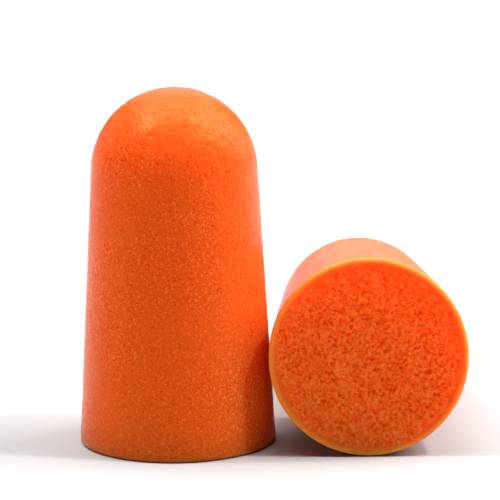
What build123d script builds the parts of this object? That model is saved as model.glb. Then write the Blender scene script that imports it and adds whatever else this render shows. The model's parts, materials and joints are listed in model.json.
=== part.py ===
"""Pair of foam ear plugs, one standing on its flat end and one lying on its side beside it.

Each plug is a single bullet-shaped moulding of slow-recovery foam: a flat end, a straight wall
that tapers all the way up, and a round dome that meets the wall without a corner. The two plugs
are identical and loose, so each is a solid of its own.

Frame: millimetres, +Z up. The origin is the centre of the standing plug's flat end, on the
surface that both plugs rest on. +Z runs up the standing plug's axis. The lying plug is at +X,
with its flat end facing -Y and its dome pointing +Y.
"""

import os
from math import cos, radians, sin

from build123d import *

# One plug
base_diameter = 13.0  # across the flat end
plug_length = 23.5  # flat end to the top of the dome
wall_taper = 3.27  # degrees that the wall leans in towards the axis
rim_radius = 0.3  # rounding of the corner between the flat end and the wall

# Where the lying plug rests
side_step = 12.48  # from one plug's axis to the other's, along X
front_step = 5.28  # how far the lying plug's rim is ahead of the standing plug's axis, along -Y

base_radius = base_diameter / 2
taper_sin = sin(radians(wall_taper))
taper_cos = cos(radians(wall_taper))
# The one radius at which the dome is tangent to the wall and its top is at plug_length
dome_radius = (base_radius * taper_cos - plug_length * taper_sin) / (1 - taper_sin)

# A plug's section plane: its origin is the centre of the flat end, and its Y is the plug's axis.
standing_plane = Plane.XZ
# The lying plug's wall touches the surface along its whole length, so its axis falls towards the
# dome by the wall's taper.
lying_plane = Plane(
    origin=(side_step, base_radius * taper_sin - front_step, base_radius * taper_cos),
    x_dir=(1, 0, 0),
    z_dir=(0, taper_sin, taper_cos),
)

os.makedirs("parts", exist_ok=True)
for plug_name, section_plane in (
    ("standing_plug", standing_plane),
    ("lying_plug", lying_plane),
):
    with BuildPart() as plug:
        with BuildSketch(section_plane) as half_section:
            with BuildLine():
                dome = CenterArc(
                    center=(0, plug_length - dome_radius),
                    radius=dome_radius,
                    start_angle=wall_taper,
                    arc_size=90 - wall_taper,
                )
                axis_line = Line(dome @ 1, (0, 0))
                flat_end = Line(axis_line @ 1, (base_radius, 0))
                Line(flat_end @ 1, dome @ 0)
            make_face()
            rim_corner = half_section.vertices().group_by(Axis.Y)[0].sort_by(Axis.X)[-1]
            fillet(rim_corner, radius=rim_radius)
        revolve(axis=Axis(section_plane.origin, section_plane.y_dir))
    plug.part.label = plug_name
    export_step(plug.part, f"parts/{plug_name}.step")
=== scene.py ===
"""Looks of a pair of foam ear plugs: one stands on its flat cut end, the other lies beside it.

Each plug is one closed mesh of rings about its axis, in metres. Its flat end is cut foam, where the
knife has opened the bubbles. Its wall and dome are moulded skin with small relief and pinholes.
"""

import json
import math

import bpy
import numpy as np
from mathutils import Matrix, Vector


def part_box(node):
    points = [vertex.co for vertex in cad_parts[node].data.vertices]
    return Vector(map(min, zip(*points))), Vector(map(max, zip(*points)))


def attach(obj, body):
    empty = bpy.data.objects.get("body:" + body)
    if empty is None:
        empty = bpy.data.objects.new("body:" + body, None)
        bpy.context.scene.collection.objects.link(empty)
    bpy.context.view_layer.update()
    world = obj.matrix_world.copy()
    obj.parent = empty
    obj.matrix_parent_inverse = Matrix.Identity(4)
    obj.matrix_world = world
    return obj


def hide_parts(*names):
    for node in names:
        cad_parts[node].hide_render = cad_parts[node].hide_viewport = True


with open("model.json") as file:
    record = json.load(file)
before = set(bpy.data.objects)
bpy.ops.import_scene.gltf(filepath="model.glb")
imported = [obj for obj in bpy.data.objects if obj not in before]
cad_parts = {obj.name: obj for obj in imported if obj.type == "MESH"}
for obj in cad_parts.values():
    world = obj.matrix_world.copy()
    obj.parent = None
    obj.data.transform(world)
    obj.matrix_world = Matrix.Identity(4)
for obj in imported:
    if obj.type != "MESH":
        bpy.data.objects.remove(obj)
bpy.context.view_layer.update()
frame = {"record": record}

MM = 0.001

# ---------------------------------------------------------------- sizes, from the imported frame

mounts = {mount["name"]: mount for mount in frame["record"]["mounts"]}
standing_base = Vector(mounts["standing_base"]["pos_m"])
standing_axis = -Vector(mounts["standing_base"]["axis"])
lying_base = Vector(mounts["lying_base"]["pos_m"])
lying_axis = -Vector(mounts["lying_base"]["axis"])

standing_low, standing_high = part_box("standing_plug")
length = standing_high.z - standing_low.z
taper = math.asin(-lying_axis.z)
base_radius = lying_base.z / math.cos(taper)
dome_radius = (base_radius * math.cos(taper) - length * math.sin(taper)) / (1 - math.sin(taper))
rim_radius = 0.3 * MM  # rounding of the corner between the flat end and the wall, as in CAD

# The two ends of the wall's straight line, as (distance from the axis, height above the flat end)
rim_centre = base_radius - rim_radius * (1 / math.cos(taper) + math.tan(taper))
foot = (rim_centre + rim_radius * math.cos(taper), rim_radius * (1 + math.sin(taper)))
dome_centre = length - dome_radius
shoulder = (dome_radius * math.cos(taper), dome_centre + dome_radius * math.sin(taper))

# ---------------------------------------------------------------- random numbers over space

TABLE = 64  # the random tables repeat after this many cells


def smooth(t):
    """0 below 0, 1 above 1, and an easy curve between."""
    t = np.clip(t, 0, 1)
    return t * t * (3 - 2 * t)


def lumps(points, size, seed):
    """Smooth noise from -1 to 1, with lumps about size across."""
    table = np.random.default_rng(seed).uniform(-1, 1, (TABLE, TABLE, TABLE))
    cell = np.floor(points / size).astype(int)
    part = points / size - cell
    part = part * part * (3 - 2 * part)
    total = np.zeros(len(points))
    for corner in np.ndindex(2, 2, 2):
        weight = np.where(corner, part, 1 - part).prod(axis=1)
        total += weight * table[tuple(((cell + corner) % TABLE).T)]
    return total


def bubble_depth(points, inward, seed, spacing, smallest, largest, share):
    """How far each point can go along inward before it meets the far side of a bubble.

    It is 0 outside all bubbles. Each cube of side spacing holds the centre of a bubble with a radius
    from smallest to largest, and share is the part of the cubes whose bubble counts.
    """
    table = np.random.default_rng(seed).random((TABLE, TABLE, TABLE, 5))
    home = np.floor(points / spacing).astype(int)
    deepest = np.zeros(len(points))
    for step in np.ndindex(3, 3, 3):
        cell = home + step - 1
        draw = table[tuple((cell % TABLE).T)]
        radius = smallest + (largest - smallest) * draw[:, 3] ** 2
        to_centre = (cell + draw[:, :3]) * spacing - points
        along = (to_centre * inward).sum(axis=1)
        room = radius**2 - (to_centre**2).sum(axis=1)
        inside = (room > 0) & (draw[:, 4] < share)
        depth = along + np.sqrt(np.maximum(room + along**2, 0))
        # The lip of the hollow is rounded off over the outermost part of the bubble
        depth *= smooth(room / (0.4 * radius**2))
        deepest = np.maximum(deepest, np.where(inside, depth, 0))
    return deepest


def cell_gap(points, spacing, seed):
    """How much farther the second nearest of scattered centres is than the nearest.

    It is 0 on the wall between two cells of foam.
    """
    table = np.random.default_rng(seed).random((TABLE, TABLE, TABLE, 3))
    home = np.floor(points / spacing).astype(int)
    nearest = np.full(len(points), np.inf)
    second = nearest.copy()
    for step in np.ndindex(3, 3, 3):
        cell = home + step - 1
        centre = (cell + table[tuple((cell % TABLE).T)]) * spacing
        distance = np.linalg.norm(centre - points, axis=1)
        second = np.minimum(second, np.maximum(nearest, distance))
        nearest = np.minimum(nearest, distance)
    return second - nearest


# ---------------------------------------------------------------- the smooth plug
# Each ring is (radius, height, lean of the outward normal above level, spacing of its points).


def face_rings(step):
    """The flat end, from its centre to where the corner begins."""
    count = round(rim_centre / step)
    return [(rim_centre * k / count, 0, -math.pi / 2, step) for k in range(count)]


def corner_rings(step):
    """The rounded corner between the flat end and the wall."""
    sweep = math.pi / 2 + taper
    count = max(4, round(rim_radius * sweep / step))
    rings = []
    for k in range(count):
        lean = -math.pi / 2 + sweep * k / count
        radius = rim_centre + rim_radius * math.cos(lean)
        rings.append((radius, rim_radius * (1 + math.sin(lean)), lean, step))
    return rings


def wall_rings(face_step, skin_step):
    """The wall. Its rings are about face_step apart at its foot and spread to about skin_step."""
    spread = 0.15  # how much wider the spacing gets on the way up, as a share of that way
    wall = math.dist(foot, shoulder)
    ways = [0]
    step = face_step
    while ways[-1] + step < wall:
        ways.append(ways[-1] + step)
        step = min(step * (1 + spread), skin_step)
    reach = ways[-1] + step
    rings = []
    for way in ways:
        fitted = way * wall / reach
        t = fitted / wall
        radius = foot[0] + (shoulder[0] - foot[0]) * t
        height = foot[1] + (shoulder[1] - foot[1]) * t
        rings.append((radius, height, taper, min(skin_step, face_step + spread * fitted)))
    return rings


def dome_rings(step):
    """The dome, from the shoulder to the tip."""
    sweep = math.pi / 2 - taper
    count = round(dome_radius * sweep / step)
    rings = []
    for k in range(count + 1):
        lean = taper + sweep * k / count
        height = dome_centre + dome_radius * math.sin(lean)
        rings.append((dome_radius * math.cos(lean), height, lean, step))
    return rings


def stitch(first, first_count, second, second_count):
    """Triangles between two neighbouring rings, which may have different numbers of points."""
    faces = []
    i = 0
    j = 0
    while i < first_count or j < second_count:
        near = first + i % first_count
        far = second + j % second_count
        if j == second_count or (i < first_count and (i + 1) * second_count <= (j + 1) * first_count):
            if first_count > 1:
                faces.append((near, first + (i + 1) % first_count, far))
            i += 1
        else:
            if second_count > 1:
                faces.append((near, second + (j + 1) % second_count, far))
            j += 1
    return faces


def points_around(radius, step):
    """How many points a ring has: one at the centre, or else a multiple of six, about step apart."""
    if radius < 0.01 * step:
        return 1
    return 6 * max(1, round(math.tau * radius / step / 6))


def plug_surface(face_step, skin_step):
    """The smooth plug, standing on its flat end: points, outward normals and triangles."""
    rings = face_rings(face_step) + corner_rings(face_step)
    rings += wall_rings(face_step, skin_step) + dome_rings(skin_step)
    points = []
    normals = []
    faces = []
    starts = []
    for radius, height, lean, step in rings:
        count = points_around(radius, step)
        starts.append((len(points), count))
        out = math.cos(lean)
        up = math.sin(lean)
        for turn in np.arange(count) * math.tau / count:
            points.append((radius * math.cos(turn), radius * math.sin(turn), height))
            normals.append((out * math.cos(turn), out * math.sin(turn), up))
    for (first, first_count), (second, second_count) in zip(starts, starts[1:]):
        faces += stitch(first, first_count, second, second_count)
    return np.array(points), np.array(normals), faces


# ---------------------------------------------------------------- relief and shades of the foam


def cut_share(points, normals, seed):
    """1 on the cut face away from the skin, 0 on the skin, with a border of wandering width between."""
    edge = base_radius - np.hypot(points[:, 0], points[:, 1])
    skin_width = 0.25 * MM
    border = 0.55 * MM + 0.25 * MM * lumps(points, 1.4 * MM, seed)
    on_flat_end = normals[:, 2] < -0.99
    return np.where(on_flat_end, smooth((edge - skin_width) / border), 0.0)


def edge_highlight_mask(points, strength):
    """Painted highlight along the rounded edge: strength where the skin meets the flat end, falling to 0
    a little way in and a little way up.
    """
    edge = base_radius - np.hypot(points[:, 0], points[:, 1])
    rim_middle = 0.12 * MM  # from the edge inward, and from the flat end upward
    inward = smooth(1 - np.abs(edge - rim_middle) / (0.42 * MM))
    upward = smooth(1 - (points[:, 2] - rim_middle) / (0.3 * MM))
    return strength * inward * upward


def cut_foam(points, normals, seed):
    """Depth of the opened bubbles over the flat end, and a painted shade for it.

    The shade is 0 for painted light on a bright cell wall and 1 for painted shade in a hole.
    """
    cell_size = 0.38 * MM
    wall_width = 0.14 * MM
    bend = 0.10 * MM  # how far the cells are bent out of shape
    level = 3 * MM  # picks which cells of the table the knife meets
    inward = -normals
    places = points + np.array([0, 0, level])
    for axis in range(3):
        places[:, axis] += bend * lumps(points, 0.32 * MM, seed + 5 + axis)
    inside = smooth(cell_gap(places, cell_size, seed) / wall_width)
    # Where this is 0 the knife has torn the cell walls away
    standing = smooth(0.6 + 1.2 * lumps(points, 0.36 * MM, seed + 8))
    fine = bubble_depth(
        places, inward, seed + 1, spacing=0.30 * MM, smallest=0.09 * MM, largest=0.17 * MM, share=0.6
    )
    large = bubble_depth(
        places, inward, seed + 2, spacing=0.9 * MM, smallest=0.12 * MM, largest=0.22 * MM, share=0.35
    )
    fine = np.tanh(fine / (0.1 * MM))
    large = np.tanh(large / (0.15 * MM))
    cell_depth = 0.09 * MM
    fine_depth = 0.05 * MM
    large_depth = 0.07 * MM
    hollows = cell_depth * inside * (0.4 + 0.6 * standing) + fine_depth * fine + large_depth * large
    sway = 0.02 * MM * lumps(points, 0.5 * MM, seed + 3) + 0.02 * MM * lumps(points, 1.1 * MM, seed + 4)
    sink = 0.03 * MM  # how far the whole cut lies inside the nominal flat end
    depth = hollows + sway + sink
    # Painted light on the cell walls, brighter than middling, and painted shade in the bubbles, darker
    shade = 0.5 - 0.5 * (1 - inside) * standing + 0.42 * fine + 0.42 * large
    return depth, shade


def skin_relief(points, seed):
    """Height of the moulded skin above the plug's nominal shape, pinholes apart."""
    broad_height = 0.008 * MM
    grain_height = 0.018 * MM
    sink = 0.02 * MM  # how far the whole skin lies inside the nominal shape
    broad = lumps(points, 0.9 * MM, seed)
    grain = lumps(points, 0.36 * MM, seed + 1) + 0.8 * lumps(points, 0.23 * MM, seed + 2)
    patches = 0.75 + 0.5 * lumps(points, 1.6 * MM, seed + 3)
    return broad_height * broad + grain_height * grain * patches - sink


# ---------------------------------------------------------------- one plug

DEEPEST_PINHOLE = 0.05 * MM


def placed_piece(name, base, axis, points, faces, shades):
    """An object from a standing plug's points and faces, with its flat end's centre at base.

    The plug points along axis. Each of the shades is stored at the points under its name.
    """
    mesh = bpy.data.meshes.new(name)
    mesh.from_pydata(points.tolist(), [], faces)
    for label, values in shades.items():
        layer = mesh.attributes.new(label, "FLOAT", "POINT")
        layer.data.foreach_set("value", np.clip(values, 0, 1).astype(np.float32))
    z = Vector(axis)
    x = Vector((1, 0, 0))
    turn = Matrix((x, z.cross(x), z)).transposed().to_4x4()
    mesh.transform(Matrix.Translation(base) @ turn)
    mesh.shade_smooth()
    piece = bpy.data.objects.new(name, mesh)
    bpy.context.scene.collection.objects.link(piece)
    return piece


def foam_plug(name, base, axis, face_step, skin_step, seed, highlight_strength):
    """One plug: the smooth surface with bubbles, pinholes and relief, and the shades of its material."""
    points, normals, faces = plug_surface(face_step, skin_step)
    cut = cut_share(points, normals, seed + 5)
    skin = smooth((points[:, 2] - 0.05 * MM) / (0.3 * MM))  # 0 on the flat end, 1 a little way up
    bubbles, shade = cut_foam(points, normals, seed + 10)
    holes = bubble_depth(
        points, -normals, seed + 20, spacing=0.28 * MM, smallest=0.04 * MM, largest=0.09 * MM, share=0.35
    )
    holes = np.minimum(holes, DEEPEST_PINHOLE) * skin
    relief = skin_relief(points, seed + 30) * skin
    outward = relief - holes - bubbles * cut
    moved = points + normals * outward[:, None]
    patches = 0.75 + 0.5 * lumps(points, 4 * MM, seed + 6)
    # Painted highlight along the edge, painted light and shade by the depth of holes and pinholes, how
    # many specks show, and the cut end
    shades = {
        "painted_rim_light": edge_highlight_mask(points, highlight_strength),
        "painted_hollow_shade": 0.5 * (1 - cut) + shade * cut + holes / (2 * DEEPEST_PINHOLE),
        "grain": np.maximum(0.45 * cut, skin * patches),
        "cut": cut,
    }
    return placed_piece(name, base, axis, moved, faces, shades)


# ---------------------------------------------------------------- foam material


class ShaderKit:
    """Adds nodes to one material. Each method gives back the output of the node that it adds."""

    def __init__(self, material):
        self.nodes = material.node_tree.nodes
        self.links = material.node_tree.links
        self.place = self.nodes.new("ShaderNodeTexCoord").outputs["Object"]

    def attribute(self, name):
        """One of the shades that are stored at the plug's points."""
        node = self.nodes.new("ShaderNodeAttribute")
        node.attribute_name = name
        return node.outputs["Fac"]

    def noise(self, scale):
        """Noise with about scale lumps to a metre."""
        node = self.nodes.new("ShaderNodeTexNoise")
        node.inputs["Scale"].default_value = scale
        node.inputs["Detail"].default_value = 1.0
        node.inputs["Roughness"].default_value = 0.5
        self.links.new(self.place, node.inputs["Vector"])
        return node.outputs["Fac"]

    def ramp(self, value, start, end, at_start=0.0, at_end=1.0):
        """at_start until value reaches start, at_end once it is past end, and evenly between.

        Where start is above end, the ramp runs from high values to low ones.
        """
        node = self.nodes.new("ShaderNodeMapRange")
        node.inputs["From Min"].default_value = start
        node.inputs["From Max"].default_value = end
        node.inputs["To Min"].default_value = at_start
        node.inputs["To Max"].default_value = at_end
        self.links.new(value, node.inputs["Value"])
        return node.outputs["Result"]

    def times(self, first, second):
        """The product of two values."""
        node = self.nodes.new("ShaderNodeMath")
        node.operation = "MULTIPLY"
        self.links.new(first, node.inputs[0])
        self.links.new(second, node.inputs[1])
        return node.outputs[0]

    def mix(self, amount, below, above):
        """The colour above laid over the colour below, as far as amount says."""
        node = self.nodes.new("ShaderNodeMix")
        node.data_type = "RGBA"
        sockets = {socket.identifier: socket for socket in node.inputs}
        self.links.new(amount, sockets["Factor_Float"])
        if isinstance(below, tuple):
            sockets["A_Color"].default_value = below
        else:
            self.links.new(below, sockets["A_Color"])
        sockets["B_Color"].default_value = above
        return next(socket for socket in node.outputs if socket.type == "RGBA")

    def bump(self, height, distance):
        """A normal bent by height, with relief of about distance."""
        node = self.nodes.new("ShaderNodeBump")
        node.inputs["Strength"].default_value = 1.0
        node.inputs["Distance"].default_value = distance
        self.links.new(height, node.inputs["Height"])
        return node.outputs["Normal"]


def foam_colour(kit):
    """Orange with paler and deeper specks, painted shade in the holes and a painted highlight along the
    edge of the flat end.

    painted_hollow_shade is 0 on the cell walls, a half on plain foam and 1 in the holes; it paints light
    on the walls and shade in the holes. grain says how many fine specks show, and cut is 1 on the cut
    end. The specks are partly random tone, partly painted glints and painted shade of the fine relief.
    """
    skin_orange = (0.78, 0.100, 0.0095, 1)
    cut_orange = (0.95, 0.114, 0.0095, 1)
    # Darker fine specks, partly painted shade of the skin's fine relief
    dark_speck_and_painted_shade = (0.56, 0.044, 0.002, 1)
    # Pale specks, painted glints, and painted light on the cell walls
    light = (1.0, 0.20, 0.040, 1)
    # Deeper specks on the cut end, and painted shade in the holes and pinholes
    deep_speck_and_painted_shade = (0.66, 0.032, 0.0, 1)
    # Painted highlight along the edge of the flat end
    highlight_orange = (1.0, 0.28, 0.040, 1)
    painted_hollow_shade = kit.attribute("painted_hollow_shade")
    grain = kit.attribute("grain")
    cut = kit.attribute("cut")
    flecks = kit.noise(7500)
    crumbs = kit.noise(4600)
    colour = kit.mix(cut, skin_orange, cut_orange)
    # Painted light on the cell walls, then the cut end's coarser specks, partly random and partly
    # painted glints
    colour = kit.mix(kit.ramp(painted_hollow_shade, 0.0, 0.4, 0.55, 0.0), colour, light)
    colour = kit.mix(kit.times(kit.ramp(crumbs, 0.56, 0.65, 0.0, 0.95), cut), colour, light)
    colour = kit.mix(kit.times(kit.ramp(crumbs, 0.46, 0.34, 0.0, 0.6), cut), colour, deep_speck_and_painted_shade)
    # Fine specks, mostly on the skin: partly random tone, partly painted glints and painted shade of the
    # fine relief
    colour = kit.mix(kit.times(kit.ramp(flecks, 0.58, 0.66), grain), colour, light)
    colour = kit.mix(kit.times(kit.ramp(flecks, 0.39, 0.31), grain), colour, dark_speck_and_painted_shade)
    # Painted shade in the holes and pinholes, then a painted highlight on the thin rounded edge of the
    # flat end
    colour = kit.mix(kit.ramp(painted_hollow_shade, 0.55, 0.95, 0.0, 0.9), colour, deep_speck_and_painted_shade)
    return kit.mix(kit.attribute("painted_rim_light"), colour, highlight_orange)


def foam_material():
    """Foam that lets light in, red light deepest, under a weak yellow sheen."""
    material = bpy.data.materials.new("orange_foam")
    material.use_nodes = True
    kit = ShaderKit(material)
    shader = kit.nodes["Principled BSDF"]
    kit.links.new(foam_colour(kit), shader.inputs["Base Color"])
    kit.links.new(kit.bump(kit.noise(4500), 0.045 * MM), shader.inputs["Normal"])
    shader.inputs["Roughness"].default_value = 0.27
    shader.inputs["Specular IOR Level"].default_value = 0.15
    shader.inputs["Specular Tint"].default_value = (1.0, 0.75, 0.05, 1)
    shader.inputs["Subsurface Weight"].default_value = 0.9
    shader.inputs["Subsurface Radius"].default_value = (1.0, 0.04, 0.015)
    shader.inputs["Subsurface Scale"].default_value = 5.0 * MM
    return material


# ---------------------------------------------------------------- the two plugs
# The lying plug shows its cut end and the standing one its skin, so each has a finer mesh there than
# the other. Both stay under 200,000 triangles, above which the export would thin them out.

foam = foam_material()
# The painted highlight along the edge of the flat end is full on the lying plug, where light catches
# that edge, and faint on the standing plug, whose edge sits in shade on the floor
for node, base, axis, face_step, skin_step, seed, highlight_strength in (
    ("standing_plug", standing_base, standing_axis, 0.09 * MM, 0.105 * MM, 100, 0.2),
    ("lying_plug", lying_base, lying_axis, 0.06 * MM, 0.12 * MM, 200, 1.0),
):
    piece = foam_plug(node + "_foam", base, axis, face_step, skin_step, seed, highlight_strength)
    piece.data.materials.append(foam)
    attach(piece, node)
    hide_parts(node)

# ---------------------------------------------------------------- floor

floor_drop = 0.02 * MM  # keeps the floor clear of the lowest bumps of the skin
floor_grey = 0.42
bpy.ops.mesh.primitive_plane_add(size=4, location=(0, 0, -floor_drop))
floor = bpy.context.object
floor.name = "floor"
floor_material = bpy.data.materials.new("floor")
floor_material.use_nodes = True
floor_shader = floor_material.node_tree.nodes["Principled BSDF"]
floor_shader.inputs["Base Color"].default_value = (floor_grey, floor_grey, floor_grey, 1)
floor_shader.inputs["Roughness"].default_value = 0.8
floor.data.materials.append(floor_material)

# ---------------------------------------------------------------- lights

LAMP_DISTANCE = 1.5  # metres from the middle of the plugs
middle = Vector((lying_base.x / 2, 0, length / 2))


def lamp(name, turn, rise, size, level):
    """A round softbox that faces the middle of the plugs.

    It stands turn degrees from the front towards the right and rise degrees up. size is how many metres
    it is across, and level is how bright it makes a white surface that faces it.
    """
    across = math.cos(math.radians(rise))
    side = math.sin(math.radians(turn)) * across
    front = math.cos(math.radians(turn)) * across
    direction = Vector((side, -front, math.sin(math.radians(rise))))
    light = bpy.data.lights.new(name, "AREA")
    light.shape = "DISK"
    light.size = size
    light.energy = level * (math.pi * LAMP_DISTANCE) ** 2
    holder = bpy.data.objects.new(name, light)
    holder.location = middle + direction * LAMP_DISTANCE
    holder.rotation_euler = direction.to_track_quat("Z", "Y").to_euler()
    bpy.context.scene.collection.objects.link(holder)


for name, turn, rise, size, level in (
    ("key_right", 99, 47, 1.336, 1.36),
    ("top", -125, 78, 1.336, 1.1),
    ("front_left", -35, 16, 0.693, 0.08),
    ("back_high", 180, 50, 1.595, 0.25),
    ("back_right", 122, 15, 0.804, 0.16),
    ("back", 180, 15, 0.804, 0.05),
    ("back_left", -132, 15, 0.804, 0.04),
    ("spot_left", -94, 61, 0.094, 0.46),
    ("spot_right", 80, 60, 0.094, 0.46),
):
    lamp(name, turn, rise, size, level)

world = bpy.data.worlds.new("studio")
bpy.context.scene.world = world
world.use_nodes = True
background = world.node_tree.nodes["Background"]
background.inputs["Color"].default_value = (1, 1, 1, 1)
background.inputs["Strength"].default_value = 0.01

# ---------------------------------------------------------------- camera
# Its place and lens follow from the plugs' outlines in the photograph.

pitch = math.radians(10.79)  # how far it looks down
roll = math.radians(-0.58)  # how far it leans about its line of sight
aim = Vector((0.392 * lying_base.x, 0, 0.54 * length))
stand_off = 8.07 * length
lens = bpy.data.cameras.new("camera")
lens.sensor_width = 36
lens.lens = 208
lens.clip_start = 0.01
lens.clip_end = 20
camera = bpy.data.objects.new("camera", lens)
bpy.context.scene.collection.objects.link(camera)
camera.location = aim - stand_off * Vector((0, math.cos(pitch), -math.sin(pitch)))
tilt = Matrix.Rotation(math.pi / 2 - pitch, 3, "X") @ Matrix.Rotation(roll, 3, "Z")
camera.rotation_euler = tilt.to_euler()
bpy.context.scene.camera = camera
bpy.context.scene.view_settings.view_transform = "Standard"
